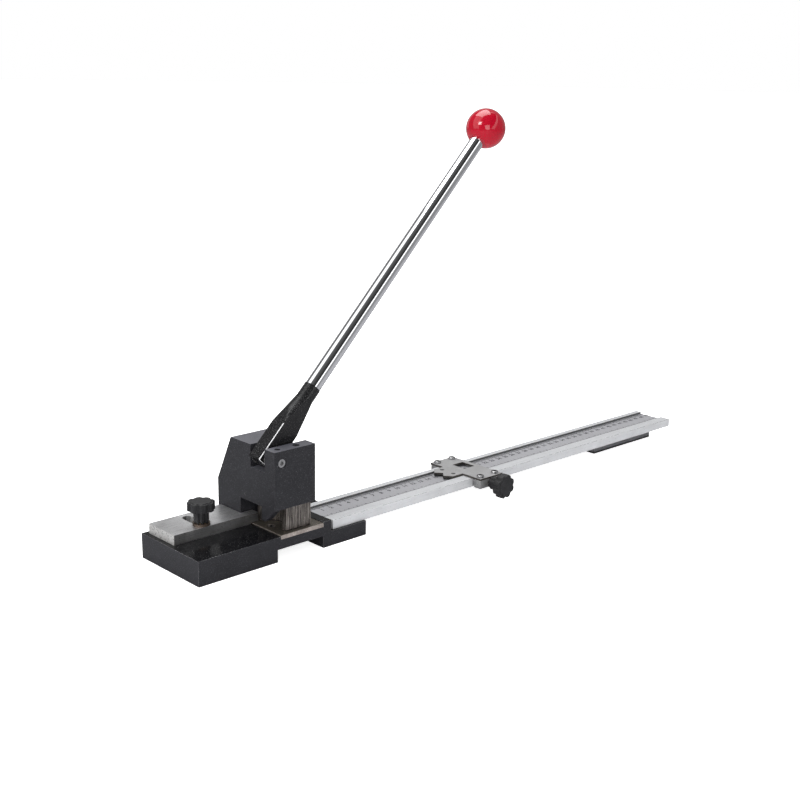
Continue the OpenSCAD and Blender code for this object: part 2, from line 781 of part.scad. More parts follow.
module stop_rear_block() {
    color([0.6, 0.6, 0.6])
    difference() {
        block(stop_right - stop_l, stop_right, rail_y + rail_w + 0.2, stop_rear, stop_block_z, stop_z);
        for (p = stop_screw_pts) post(p, stop_screw_d, stop_z - stop_thread_l, stop_z + 1);
    }
}

module stop_screws() {
    color([0.75, 0.75, 0.76])
    for (p = stop_screw_pts) translate([px(p[0]), py(p[1]), stop_z + stop_t])
        cap_screw(stop_screw_d, 8, 7, 2.2, 2.5);
}

module stop_pad() {
    y1 = rail_y - pad_gap;
    color([0.75, 0.75, 0.76])
    difference() {
        block(stop_left + 1, stop_right - 2, y1 - pad_t, y1,
            stop_block_z + 0.5, rail_top - 0.4);
        translate([px(stop_x), py(y1 - pad_t) - 1, stop_knob_z]) rotate([-90, 0, 0])
            cylinder(d = stop_tip_d + 0.4, h = 2.3);
    }
}

module stop_stud() {
    tip = rail_y - pad_gap - pad_t + stop_tip_play;
    color([0.6, 0.6, 0.62])
    translate([px(stop_x), py(tip), stop_knob_z]) rotate([90, 0, 0]) {
        cylinder(d = stop_tip_d, h = stop_tip_l);
        translate([0, 0, stop_tip_l - 0.2])
            cylinder(d = stop_stud_d, h = tip - stop_tip_l + 0.2 - stop_knob_y + stud_grip);
    }
}

module stop_knob() {
    color([0.09, 0.09, 0.1])
    translate([px(stop_x), py(stop_knob_y), stop_knob_z]) rotate([90, 0, 0])
        star_knob(stop_insert_d, insert_h);
}

module stop_knob_insert() {
    color([0.75, 0.6, 0.3])
    translate([px(stop_x), py(stop_knob_y), stop_knob_z]) rotate([90, 0, 0]) difference() {
        cylinder(d = stop_insert_d, h = insert_h);
        translate([0, 0, -1]) cylinder(d = stop_stud_d, h = insert_h + 0.4);
    }
}

// ---------- assembly ----------

base();
head_block();
head_bolts();
head_dowels();
oil_plugs();
die_plate();
die_screws();
punch();
punch_screws();
ram();
ram_pin();
lever_yoke();
yoke_bush();
yoke_spacers();
pivot_pin();
pivot_set_screw();
rod_set_screw();
lever_rod();
ball_knob();
ball_insert();
fence_bar();
fence_stud();
fence_washer();
fence_knob();
fence_knob_insert();
rail();
scale_tape();
rail_screws();
rail_foot();
rail_foot_pad();
rail_foot_screws();
stop_plate();
stop_tongue();
stop_tongue_screws();
stop_front_block();
stop_rear_block();
stop_screws();
stop_pad();
stop_stud();
stop_knob();
stop_knob_insert();
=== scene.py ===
"""A bench strap cutter: finishes, edges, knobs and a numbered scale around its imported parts."""

import json
import math

import bmesh
import bpy
from bpy.props import FloatProperty, FloatVectorProperty, IntProperty, PointerProperty
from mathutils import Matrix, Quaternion, Vector

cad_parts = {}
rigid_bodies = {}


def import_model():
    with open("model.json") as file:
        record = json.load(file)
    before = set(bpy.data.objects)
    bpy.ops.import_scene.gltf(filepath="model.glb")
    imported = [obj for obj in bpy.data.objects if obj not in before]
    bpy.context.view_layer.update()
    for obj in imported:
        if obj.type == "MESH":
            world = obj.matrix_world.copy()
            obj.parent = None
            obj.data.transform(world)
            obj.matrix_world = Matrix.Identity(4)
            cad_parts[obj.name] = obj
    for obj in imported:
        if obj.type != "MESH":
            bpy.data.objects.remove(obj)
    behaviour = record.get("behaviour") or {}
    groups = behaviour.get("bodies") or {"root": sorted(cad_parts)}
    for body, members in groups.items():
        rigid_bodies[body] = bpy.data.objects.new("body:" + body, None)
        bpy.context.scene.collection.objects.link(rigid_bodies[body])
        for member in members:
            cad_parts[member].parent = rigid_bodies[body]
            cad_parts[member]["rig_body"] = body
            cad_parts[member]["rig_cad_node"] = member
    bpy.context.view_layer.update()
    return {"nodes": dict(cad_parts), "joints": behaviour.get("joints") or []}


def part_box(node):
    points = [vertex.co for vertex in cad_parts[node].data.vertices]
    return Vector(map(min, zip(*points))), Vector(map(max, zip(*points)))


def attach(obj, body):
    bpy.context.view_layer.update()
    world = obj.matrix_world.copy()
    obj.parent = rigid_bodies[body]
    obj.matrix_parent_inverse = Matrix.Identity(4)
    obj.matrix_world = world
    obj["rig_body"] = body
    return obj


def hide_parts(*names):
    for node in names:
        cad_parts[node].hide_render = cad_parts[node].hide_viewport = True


bl_info = {
    "name": "Bench Strap Cutter",
    "version": (1, 0, 0),
    "blender": (4, 5, 0),
    "location": "View3D > Sidebar > Strap Cutter",
    "description": "Models and finishes a lever-driven strap cutter with a graduated rail",
    "category": "Object",
}

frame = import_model()

MM = 0.001
UP = Vector((0, 0, 1))
FRONT = Vector((0, -1, 0))
LEFT = Vector((-1, 0, 0))
ALONG = Vector((1, 0, 0))
PLAIN, EDGE, SECOND, THIRD = range(4)          # a piece's material slots

FACING, SQUARELY = 0.9, 0.99                   # least dot product of a face and its direction
CAP_CORNERS = 20                               # a round cap has more corners than this
BUMP_DEPTH = 0.2 * MM
KNOB_LOBES, LOBE_STEPS = 8, 12
KNOB_VALLEY = (0.865, 0.88, 0.925, 0.972, 0.993)    # radii from a valley's middle outwards
KNOB_HEAD, KNOB_HUB, HUB_ROOT = 0.42, 0.57, 0.63    # shares of a star knob's height and radius
STRIP_EDGES = (-4, -1, 11, 14)                 # degrees round the lever's line: rise and fall
PANEL_EDGES = (86, 90, 130, 134)


# ---------- settings ----------

IN_METRES = {"subtype": "DISTANCE", "unit": "LENGTH"}


def amount(name, default, description, **settings):
    """A number with its own unit or limits."""
    return FloatProperty(name=name, description=description, default=default, **settings)


def length(name, default, description):
    """A length in millimetres, kept in metres."""
    return amount(name, default * MM, description, min=0, **IN_METRES)


def colour(name, default, description):
    """A colour with no alpha."""
    return FloatVectorProperty(name=name, description=description, default=default, size=3,
                               min=0, max=1, subtype="COLOR")


class CutterSizes(bpy.types.PropertyGroup):
    """Sizes of the fine shapes that the looks add to the machine."""

    block_edge: length("Block Edge", 0.6, "Bevel on the edges of the base and head")
    plate_edge: length("Plate Edge", 0.2, "Bevel on the edges of plates and bars")
    fence_edge: length("Fence Edge", 0.45, "Bevel on the edges of the fence bar")
    # the yoke's near, left-facing bevels carry a painted highlight
    yoke_edge: length("Yoke Edge", 0.5, "Bevel along the rubbed edges of the yoke")
    knob_crown: length("Knob Crown", 0.5, "Height of the raised face on a star knob")
    knob_edge: length("Knob Edge", 0.6, "Bevel round a star knob's head")
    screw_edge: length("Screw Edge", 0.55, "Rounding of a button head's rim")
    tick_width: length("Tick Width", 0.6, "Width of a line on the scale")
    tick_short: length("Short Tick", 2.9, "Length of a millimetre line")
    tick_middle: length("Middle Tick", 4.0, "Length of a half-centimetre line")
    tick_long: length("Long Tick", 5.2, "Length of a centimetre line")
    number_height: length("Number Height", 4.3, "Height of a number on the scale")
    ink_height: length("Ink Height", 0.03, "Thickness of the printed lines and numbers")
    scale_count: IntProperty(name="Centimetres", description="Highest number on the scale",
                             default=49, min=1, max=60)


class CutterColours(bpy.types.PropertyGroup):
    """Colours of the machine's finishes."""

    black_steel: colour("Black Steel", (0.0155, 0.0156, 0.0182), "Blackened steel of base and head")
    gloss_top: colour("Oiled Top", (0.002, 0.002, 0.0024), "Polished black top of the base")
    bare_steel: colour("Bare Steel", (0.42, 0.42, 0.425), "Ground steel of the fence and stop")
    die_bronze: colour("Die Bronze", (0.135, 0.12, 0.10), "Tempered face of the die plate")
    punch_grey: colour("Punch Grey", (0.34, 0.31, 0.285), "Tempered sides of the punch")
    chrome: colour("Chrome", (0.86, 0.87, 0.89), "Plating of the lever's rod")
    ball_red: colour("Ball Red", (0.40, 0.002, 0.016), "Gloss of the lever's ball")
    knob_black: colour("Knob Black", (0.006, 0.006, 0.0065), "Moulded star knobs")
    rail_silver: colour("Rail Silver", (0.72, 0.73, 0.75), "Drawn aluminium of the rail")
    tape_grey: colour("Tape Grey", (0.37, 0.37, 0.39), "Ground of the printed scale")
    ink: colour("Ink", (0.012, 0.012, 0.016), "Lines and numbers of the scale")
    rubber: colour("Rubber", (0.018, 0.018, 0.019), "Pad below the rail's foot")


class StageSettings(bpy.types.PropertyGroup):
    """Camera and light of the stage."""

    azimuth: amount("Azimuth", math.radians(-43.6), "Camera's turn round the machine",
                    subtype="ANGLE")
    elevation: amount("Elevation", math.radians(14.9), "Camera's height above the horizon",
                      subtype="ANGLE")
    roll: amount("Roll", math.radians(1.02), "Camera's turn about its own line of sight",
                 subtype="ANGLE")
    lens: amount("Lens", 54.84, "Focal length of the camera", subtype="DISTANCE_CAMERA")
    camera_x: amount("Camera X", -0.5356, "Camera's place along the rail", **IN_METRES)
    camera_y: amount("Camera Y", -0.7867, "Camera's place from front to back", **IN_METRES)
    camera_z: amount("Camera Z", 0.3897, "Camera's height", **IN_METRES)
    surround: amount("Surround", 0.62, "Brightness of the room round the lamps", min=0)
    dark_room: amount("Dark Room", 0.035, "Brightness that mirrors see", min=0)
    low_screen: amount("Low Screen", 0.28, "Brightness mirrored near the ground", min=0)
    strip: amount("Strip", 1.8, "Brightness of the mirrored strip in front", min=0)
    panel: amount("Panel", 1.3, "Brightness of the mirrored panel overhead", min=0)
    haze: amount("Haze", 0.12, "Brightness of the dark room's upper part", min=0)
    backdrop: amount("Backdrop", 0.9, "Brightness mirrored behind the machine", min=0)
    lean: FloatVectorProperty(name="Lean", size=3, subtype="DIRECTION",
                              description="Direction across the resting lever, up and left",
                              default=(-0.717, 0, 0.697))
    floor_tone: colour("Floor", (0.97, 0.97, 0.97), "Colour of the pale floor")
    floor_mirrored: colour("Mirrored Floor", (0.36, 0.36, 0.375), "Floor as the metal mirrors it")


GROUPS = {
    "cutter_sizes": CutterSizes,
    "cutter_colours": CutterColours,
    "cutter_stage": StageSettings,
}


def sizes():
    return bpy.context.scene.cutter_sizes


def colours():
    return bpy.context.scene.cutter_colours


# ---------- shader helpers and shared effects ----------

def feed(tree, socket, value):
    """Wires a node's output to a socket, or sets the socket to a constant."""
    if isinstance(value, bpy.types.NodeSocket):
        tree.links.new(value, socket)
    else:
        socket.default_value = value


def put(tree, kind, sockets=None, **settings):
    """Adds a node to a tree, sets its properties and feeds its sockets."""
    made = tree.nodes.new(kind)
    for key, value in settings.items():
        setattr(made, key, value)
    for key, value in (sockets or {}).items():
        feed(tree, made.inputs[key], value)
    return made


def calc(tree, operation, a, b=0.0):
    return put(tree, "ShaderNodeMath", {0: a, 1: b}, operation=operation).outputs[0]


def remap(tree, value, low, high, to_low=0.0, to_high=1.0):
    return put(tree, "ShaderNodeMapRange", {"Value": value, "From Min": low, "From Max": high,
               "To Min": to_low, "To Max": to_high}).outputs[0]


def blend_colours(tree, factor, a, b):
    mix = put(tree, "ShaderNodeMix", data_type="RGBA")
    for index, value in ((0, factor), (6, a), (7, b)):
        feed(tree, mix.inputs[index], value)
    return mix.outputs[2]


def noise(tree, vector, scale, detail=2.0, roughness=0.5):
    """Noise as a value, then as a colour."""
    return put(tree, "ShaderNodeTexNoise", {"Vector": vector, "Scale": scale, "Detail": detail,
               "Roughness": roughness}).outputs


def spread(tree, value, reach):
    """Spreads the values within reach of a half over 0 to 1."""
    return remap(tree, value, calc(tree, "SUBTRACT", 0.5, reach), calc(tree, "ADD", 0.5, reach))


def band(tree, turn, edges, brightness):
    """A bright band that rises and falls between four angles."""
    start, full, fade, end = edges
    return calc(tree, "MULTIPLY", remap(tree, turn, start, full, 0.0, brightness),
                remap(tree, turn, end, fade))


def effect(name, inputs, outputs):
    """Starts a node group with named sockets. Returns its tree, its inputs and its output node."""
    tree = bpy.data.node_groups.new(name, "ShaderNodeTree")
    for label, kind, default in inputs:
        socket = tree.interface.new_socket(label, in_out="INPUT", socket_type=kind)
        if default is not None:
            socket.default_value = default
    for label in outputs:
        tree.interface.new_socket(label, in_out="OUTPUT", socket_type="NodeSocketFloat")
    return tree, tree.nodes.new("NodeGroupInput").outputs, tree.nodes.new("NodeGroupOutput")


VECTOR, NUMBER = "NodeSocketVector", "NodeSocketFloat"


def make_grain():
    """Streaks that follow one direction, as grinding or drawing leaves them."""
    tree, given, out = effect("Grain", [("Vector", VECTOR, None), ("Stretch", VECTOR, None),
                              ("Contrast", NUMBER, 0.5)], ["Streaks", "Height"])
    stretched = put(tree, "ShaderNodeVectorMath", {0: given["Vector"], 1: given["Stretch"]},
                    operation="MULTIPLY").outputs[0]
    fine = noise(tree, stretched, 1.0, 5.0, 0.65)[0]
    reach = calc(tree, "SUBTRACT", 0.55, calc(tree, "MULTIPLY", given["Contrast"], 0.5))
    tree.links.new(spread(tree, fine, reach), out.inputs["Streaks"])
    tree.links.new(fine, out.inputs["Height"])
    return tree


def make_patches():
    """Soft cloudy variation, as oil, handling and uneven blackening leave."""
    tree, given, out = effect("Patches", [("Vector", VECTOR, None), ("Size", NUMBER, 60.0),
                              ("Softness", NUMBER, 0.2)], ["Value"])
    cloud = noise(tree, given["Vector"], given["Size"], 4.0, 0.6)[0]
    tree.links.new(spread(tree, cloud, given["Softness"]), out.inputs["Value"])
    return tree


def make_specks():
    """Small scattered dots: pits, dust and pale grains."""
    tree, given, out = effect("Specks", [("Vector", VECTOR, None), ("Density", NUMBER, 900.0),
                              ("Cover", NUMBER, 0.1)], ["Mask"])
    dots = noise(tree, given["Vector"], given["Density"], 1.0, 0.4)[0]
    edge = calc(tree, "SUBTRACT", 0.78, given["Cover"])
    tree.links.new(remap(tree, dots, edge, calc(tree, "ADD", edge, 0.06)), out.inputs["Mask"])
    return tree


def make_scratches():
    """Thin stray lines, only where a slow noise allows them."""
    tree, given, out = effect("Scratches", [("Vector", VECTOR, None), ("Size", NUMBER, 70.0),
                              ("Amount", NUMBER, 0.3)], ["Mask"])
    warp = noise(tree, given["Vector"], 45.0)[1]
    bent = put(tree, "ShaderNodeMix", {0: 0.012, 4: given["Vector"], 5: warp},
               data_type="VECTOR").outputs[1]
    edge = put(tree, "ShaderNodeTexVoronoi", {"Vector": bent, "Scale": given["Size"]},
               feature="DISTANCE_TO_EDGE").outputs["Distance"]
    line = remap(tree, edge, 0.0, 0.012, 1.0, 0.0)
    where = noise(tree, given["Vector"], 55.0, 3.0)[0]
    limit = calc(tree, "SUBTRACT", 0.8, calc(tree, "MULTIPLY", given["Amount"], 0.4))
    allowed = remap(tree, where, limit, calc(tree, "ADD", limit, 0.1))
    tree.links.new(calc(tree, "MULTIPLY", line, allowed), out.inputs["Mask"])
    return tree


EFFECTS = {}


def use(tree, name, **sockets):
    """Places a shared effect in a material."""
    made = tree.nodes.new("ShaderNodeGroup")
    made.node_tree = EFFECTS[name]
    for key, value in sockets.items():
        feed(tree, made.inputs[key], value)
    return made.outputs


def opaque(tone):
    return (*tone, 1.0)


def shade(tone, factor):
    return tuple(min(1.0, c * factor) for c in tone)


def finish(name, tone, other=None, metallic=0.0, roughness=(0.4, 0.5), stretch=(400, 400, 400),
           streaks=0.3, patches=0.3, patch_size=60.0, specks=0.05, speck_size=900.0,
           speck_tone=None, scratches=0.0, scratch_tone=(0.5, 0.5, 0.5), bump=0.05,
           coat=0.0, coat_roughness=0.1, specular=0.5, contrast=0.6):
    """A material: two tones mixed by grain and patches, with specks, scratches, bump and gloss."""
    material = bpy.data.materials.new(name)
    material.use_nodes = True
    material.diffuse_color = opaque(tone)
    tree = material.node_tree
    body = tree.nodes["Principled BSDF"]
    place = put(tree, "ShaderNodeTexCoord").outputs["Object"]
    grain = use(tree, "grain", Vector=place, Stretch=stretch, Contrast=contrast)
    cloud = use(tree, "patches", Vector=place, Size=patch_size, Softness=0.18)["Value"]
    speck = use(tree, "specks", Vector=place, Density=speck_size, Cover=specks)["Mask"]
    share = calc(tree, "ADD", calc(tree, "MULTIPLY", grain["Streaks"], streaks),
                 calc(tree, "MULTIPLY", cloud, patches))
    mixed = blend_colours(tree, share, opaque(tone), opaque(other or shade(tone, 1.6)))
    if specks:
        mixed = blend_colours(tree, speck, mixed, opaque(speck_tone or shade(tone, 2.2)))
    if scratches:
        line = use(tree, "scratches", Vector=place, Size=70.0, Amount=scratches)["Mask"]
        mixed = blend_colours(tree, line, mixed, opaque(scratch_tone))
    tree.links.new(mixed, body.inputs["Base Color"])
    gloss = remap(tree, share, 0.0, 1.0, *roughness)
    tree.links.new(gloss, body.inputs["Roughness"])
    relief = calc(tree, "ADD", grain["Height"], calc(tree, "MULTIPLY", speck, 0.5))
    bumps = put(tree, "ShaderNodeBump", {"Strength": bump, "Distance": BUMP_DEPTH,
                "Height": relief})
    tree.links.new(bumps.outputs[0], body.inputs["Normal"])
    body.inputs["Metallic"].default_value = metallic
    body.inputs["Specular IOR Level"].default_value = specular
    body.inputs["Coat Weight"].default_value = coat
    body.inputs["Coat Roughness"].default_value = coat_roughness
    return material


MATERIALS = {}


def make_materials():
    """Builds the shared effects and every finish of the machine."""
    EFFECTS.update(grain=make_grain(), patches=make_patches(), specks=make_specks(),
                   scratches=make_scratches())
    c = colours()
    black, bare, silver = tuple(c.black_steel), tuple(c.bare_steel), tuple(c.rail_silver)
    along, upright = (30, 2500, 2500), (2200, 2200, 45)
    MATERIALS.update(
        black_side=finish(
            "Blackened Steel", black, shade(black, 1.9), roughness=(0.34, 0.5),
            stretch=(900, 900, 500), streaks=0.25, patches=0.35, patch_size=38, specks=0.14,
            speck_size=1800, speck_tone=(0.075, 0.075, 0.085), scratches=0.3,
            scratch_tone=(0.3, 0.3, 0.3), bump=0.3, specular=0.2, contrast=0.8),
        black_top=finish(
            "Oiled Black Top", tuple(c.gloss_top), shade(black, 0.5), roughness=(0.1, 0.22),
            streaks=0.2, patches=0.5, patch_size=30, specks=0.1, speck_size=1500,
            speck_tone=(0.1, 0.1, 0.1), bump=0.06, specular=0.15),
        # head top: several times lighter than the blackened sides, a painted sheen for the bright
        # room that tops mirror, with real scratches and specks
        head_top=finish(
            "Worn Head Top", shade(black, 4), shade(black, 7.5), roughness=(0.3, 0.42),
            patches=0.5, patch_size=50, specks=0.16, speck_size=1400, scratches=0.3,
            scratch_tone=(0.2, 0.2, 0.2), bump=0.2, specular=0.6),
        # bevels of base and head: rubbed edges with worn specks, also painted lighter as a fixed
        # edge highlight
        worn_edge=finish(
            "Rubbed Edge", shade(black, 3.5), (0.35, 0.35, 0.36), metallic=0.2,
            roughness=(0.3, 0.4), streaks=0.15, patches=0.5, patch_size=160, specks=0.2,
            speck_size=700, speck_tone=(0.45, 0.45, 0.45)),
        yoke_black=finish(
            "Satin Yoke", (0.004, 0.004, 0.0045), (0.013, 0.013, 0.014), roughness=(0.16, 0.34),
            patches=0.5, patch_size=45, specks=0.15, speck_size=1500,
            speck_tone=(0.08, 0.08, 0.08), bump=0.2, specular=0.35),
        # yoke edge: near-white on the near, left-facing bevels, a painted highlight along the edge
        yoke_edge=finish(
            "Yoke Edge", (0.9, 0.9, 0.91), (0.6, 0.6, 0.61), roughness=(0.2, 0.3), streaks=0.1,
            patches=0.3, patch_size=90, specks=0.0),
        # real blackened screws, and also the painted shade inside the stop screws' sockets
        black_screw=finish(
            "Blackened Screw", (0.014, 0.014, 0.015), (0.05, 0.05, 0.055), metallic=0.4,
            roughness=(0.25, 0.45), specks=0.1, speck_size=2500, stretch=(1500, 1500, 1500)),
        bright_screw=finish(
            "Bright Screw", (0.26, 0.26, 0.27), (0.52, 0.52, 0.52), metallic=1.0,
            roughness=(0.16, 0.32), stretch=(1500, 1500, 300), streaks=0.5, specks=0.08,
            speck_size=2400, speck_tone=(0.2, 0.19, 0.18)),
        pin_steel=finish(
            "Pin Steel", (0.30, 0.30, 0.31), (0.50, 0.50, 0.50), metallic=0.8,
            roughness=(0.25, 0.4), stretch=(1500, 1500, 1500), streaks=0.5),
        fence_top=finish(
            "Ground Fence", shade(bare, 0.9), shade(bare, 2.1), metallic=0.92, contrast=0.8,
            roughness=(0.26, 0.4), stretch=(60, 2400, 2400), streaks=0.55, patches=0.6,
            patch_size=26, specks=0.1, speck_size=1200, speck_tone=(0.2, 0.19, 0.18), bump=0.15),
        fence_side=finish(
            "Fence Side", shade(bare, 0.2), shade(bare, 0.85), metallic=0.85,
            roughness=(0.3, 0.45), stretch=along, streaks=0.5, patches=0.8, patch_size=24,
            contrast=0.8, specks=0.12, speck_size=1100, speck_tone=(0.08, 0.075, 0.07), bump=0.2),
        fence_end=finish(
            "Sawn Fence End", (0.60, 0.60, 0.59), (0.32, 0.31, 0.30), metallic=0.45,
            roughness=(0.45, 0.6), stretch=(500, 500, 500), streaks=0.25, patches=0.45,
            patch_size=150, specks=0.18, speck_size=800, speck_tone=(0.2, 0.2, 0.2), bump=0.3),
        # bevels of fence, ram, rail and stop parts: lighter than their faces, a painted edge
        # highlight
        bright_edge=finish(
            "Bright Edge", (0.75, 0.75, 0.75), (0.9, 0.9, 0.9), metallic=0.9,
            roughness=(0.22, 0.35), patches=0.5, patch_size=120),
        die_top=finish(
            "Tempered Die", tuple(c.die_bronze), shade(tuple(c.die_bronze), 0.5), metallic=0.75,
            roughness=(0.36, 0.5), stretch=(900, 60, 900), streaks=0.5, patches=0.5, patch_size=55,
            specks=0.12, speck_size=1200, speck_tone=(0.4, 0.33, 0.26), bump=0.15),
        die_edge=finish(
            "Ground Die Edge", (0.54, 0.475, 0.44), (0.2, 0.17, 0.15), metallic=0.5,
            roughness=(0.35, 0.5), stretch=(900, 900, 120), streaks=0.6, patches=0.4,
            patch_size=120, specks=0.1, speck_size=1300),
        punch_side=finish(
            "Tempered Punch", tuple(c.punch_grey), (0.035, 0.03, 0.027), metallic=0.7,
            roughness=(0.3, 0.5), stretch=(1300, 1300, 45), streaks=1.0, patches=0.2,
            patch_size=70, contrast=0.85, specks=0.08, speck_size=1500,
            speck_tone=(0.65, 0.57, 0.48), bump=0.3),
        ram_steel=finish(
            "Machined Ram", (0.30, 0.30, 0.31), (0.45, 0.45, 0.46), metallic=0.9,
            roughness=(0.3, 0.45), stretch=upright, streaks=0.6, bump=0.15),
        rod_chrome=finish(
            "Chromed Rod", tuple(c.chrome), shade(tuple(c.chrome), 0.92), metallic=1.0,
            roughness=(0.03, 0.06), streaks=0.2, patches=0.3, patch_size=20, specks=0.03,
            speck_size=1800, speck_tone=(0.45, 0.45, 0.46), bump=0.01),
        ball_red=finish(
            "Red Gloss Ball", tuple(c.ball_red), shade(tuple(c.ball_red), 0.8),
            roughness=(0.12, 0.2), stretch=(40, 40, 40), streaks=0.2, patches=0.2, patch_size=25,
            specks=0.0, bump=0.01, coat=0.6, coat_roughness=0.04, specular=0.2),
        brass=finish(
            "Turned Brass", (0.60, 0.43, 0.17), (0.75, 0.58, 0.28), metallic=1.0,
            roughness=(0.22, 0.35), stretch=(900, 900, 900), streaks=0.5),
        knob_black=finish(
            "Moulded Knob", tuple(c.knob_black), (0.03, 0.03, 0.032), roughness=(0.26, 0.42),
            patches=0.4, patch_size=90, specks=0.12, speck_size=1800,
            speck_tone=(0.05, 0.05, 0.052), bump=0.2, specular=0.3),
        washer_brown=finish(
            "Tempered Washer", (0.07, 0.05, 0.04), (0.2, 0.155, 0.125), metallic=0.8,
            roughness=(0.3, 0.45), patches=0.6, patch_size=150),
        rail_top=finish(
            "Drawn Rail", shade(silver, 1.0), shade(silver, 0.68), metallic=0.4, contrast=0.8,
            roughness=(0.34, 0.48), stretch=along, streaks=0.65, patches=0.25, patch_size=22,
            specks=0.06, speck_size=1000, speck_tone=(0.35, 0.35, 0.36), bump=0.15),
        rail_side=finish(
            "Rail Side", shade(silver, 1.02), shade(silver, 0.72), metallic=0.3, contrast=0.8,
            roughness=(0.4, 0.5), stretch=along, streaks=0.4, patches=0.35, patch_size=60,
            specks=0.1, speck_size=700, speck_tone=(0.5, 0.5, 0.52), bump=0.2),
        # channel walls beside the tape: painted shade in the channel
        channel=finish(
            "Rail Channel", shade(silver, 0.25), shade(silver, 0.12), metallic=0.4,
            roughness=(0.4, 0.5), stretch=along, streaks=0.6),
        tape=finish(
            "Scale Tape", tuple(c.tape_grey), shade(tuple(c.tape_grey), 1.35), metallic=0.4,
            roughness=(0.34, 0.48), stretch=along, streaks=0.6, patches=0.35, patch_size=30,
            specks=0.1, speck_size=1300, speck_tone=(0.2, 0.2, 0.21), bump=0.1),
        ink=finish(
            "Scale Ink", tuple(c.ink), (0.05, 0.05, 0.06), roughness=(0.4, 0.55),
            stretch=(900, 900, 900), patches=0.4, patch_size=200),
        foot_grey=finish(
            "Foot Bar", (0.23, 0.23, 0.245), (0.33, 0.33, 0.35), metallic=0.6,
            roughness=(0.38, 0.5), stretch=along, streaks=0.5),
        rubber=finish(
            "Rubber Pad", tuple(c.rubber), (0.035, 0.035, 0.036), roughness=(0.7, 0.85),
            specks=0.2, speck_size=2000, bump=0.4),
        stop_top=finish(
            "Ground Stop", shade(bare, 0.75), shade(bare, 1.15), metallic=0.4,
            roughness=(0.38, 0.5), stretch=(1300, 1300, 1300), streaks=0.45, patches=0.3,
            patch_size=70, specks=0.16, speck_size=1800, speck_tone=(0.26, 0.25, 0.24), bump=0.3),
        stop_side=finish(
            "Stop Block", shade(bare, 0.9), shade(bare, 0.3), metallic=0.4, roughness=(0.35, 0.5),
            stretch=(900, 900, 200), streaks=0.5, patches=0.5, patch_size=110, specks=0.14,
            speck_size=900, speck_tone=(0.1, 0.095, 0.09), bump=0.25),
        burnt_edge=finish(
            "Burnt Edge", (0.03, 0.028, 0.027), (0.11, 0.10, 0.09), metallic=0.5,
            roughness=(0.35, 0.5), patches=0.5, patch_size=160, specks=0.1),
    )


# ---------- modelling helpers ----------

def mode(name):
    bpy.ops.object.mode_set(mode=name)


def clear():
    bpy.ops.object.select_all(action="DESELECT")


def pull(distance):
    """Extrudes the selected faces along Z."""
    bpy.ops.mesh.extrude_region_move(TRANSFORM_OT_translate={"value": (0, 0, distance)})


def bevel(width, segments=2, profile=0.5, clamp=False, material=-1):
    """Bevels the selected edges."""
    bpy.ops.mesh.bevel(offset_type="OFFSET", offset=width, segments=segments, profile=profile,
                       affect="EDGES", clamp_overlap=clamp, material=material)


def stand(piece, axis, place):
    """Turns a piece's own Z to an axis and puts the piece in its place."""
    piece.rotation_mode = "QUATERNION"
    piece.rotation_quaternion = UP.rotation_difference(axis)
    piece.location = place


def is_cap(face, side):
    """True on the round cap at the upper (1) or lower (-1) end."""
    return face.normal.z * side > SQUARELY and len(face.verts) > CAP_CORNERS


def only(piece):
    """Selects one object and nothing else."""
    clear()
    piece.select_set(True)
    bpy.context.view_layer.objects.active = piece


def give(piece, *names):
    """Puts the named finishes in a piece's material slots."""
    piece.data.materials.clear()
    for name in names:
        piece.data.materials.append(MATERIALS[name])


def settle(piece, name, body, slot, *nodes):
    """Names a finished piece, zeroes its object's place and hands it to the frame."""
    only(piece)
    bpy.ops.object.transform_apply(location=True, rotation=True, scale=True)
    piece.name = name
    piece.data.name = name
    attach(piece, body)
    if nodes:
        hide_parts(*nodes)
    return piece


def copy_node(node, finishes):
    """A merged, cleaned copy of a CAD node with its finishes, its own mesh, left in edit mode."""
    source = frame["nodes"][node]
    only(source)
    bpy.ops.object.duplicate(linked=False)
    piece = bpy.context.object
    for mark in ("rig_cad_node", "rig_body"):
        del piece[mark]
    piece.parent = None
    give(piece, *finishes)
    mode("EDIT")
    bpy.ops.mesh.select_all(action="SELECT")
    bpy.ops.mesh.remove_doubles(threshold=0.002 * MM)
    bpy.ops.mesh.dissolve_limited(angle_limit=math.radians(0.6))
    return piece


def select_edges(piece, shortest, sharpest=math.radians(25), test=None):
    """Selects the sharp outer edges of a mesh in edit mode that are long and pass a test."""
    mesh = bmesh.from_edit_mesh(piece.data)
    bpy.ops.mesh.select_mode(type="EDGE")
    bpy.ops.mesh.select_all(action="DESELECT")
    found = 0
    for edge in mesh.edges:
        sharp = edge.is_convex and edge.calc_face_angle(0) > sharpest
        if sharp and edge.calc_length() >= shortest and (test is None or test(edge)):
            edge.select_set(True)
            found += 1
    bmesh.update_edit_mesh(piece.data)
    return found


def smooth(piece, angle=35):
    """Smooth shading that keeps large faces flat and long walls even up to their rims."""
    bpy.ops.object.shade_smooth_by_angle(angle=math.radians(angle))
    even = piece.modifiers.new("Even Faces", "WEIGHTED_NORMAL")
    even.keep_sharp = True
    bpy.ops.object.modifier_apply(modifier=even.name)


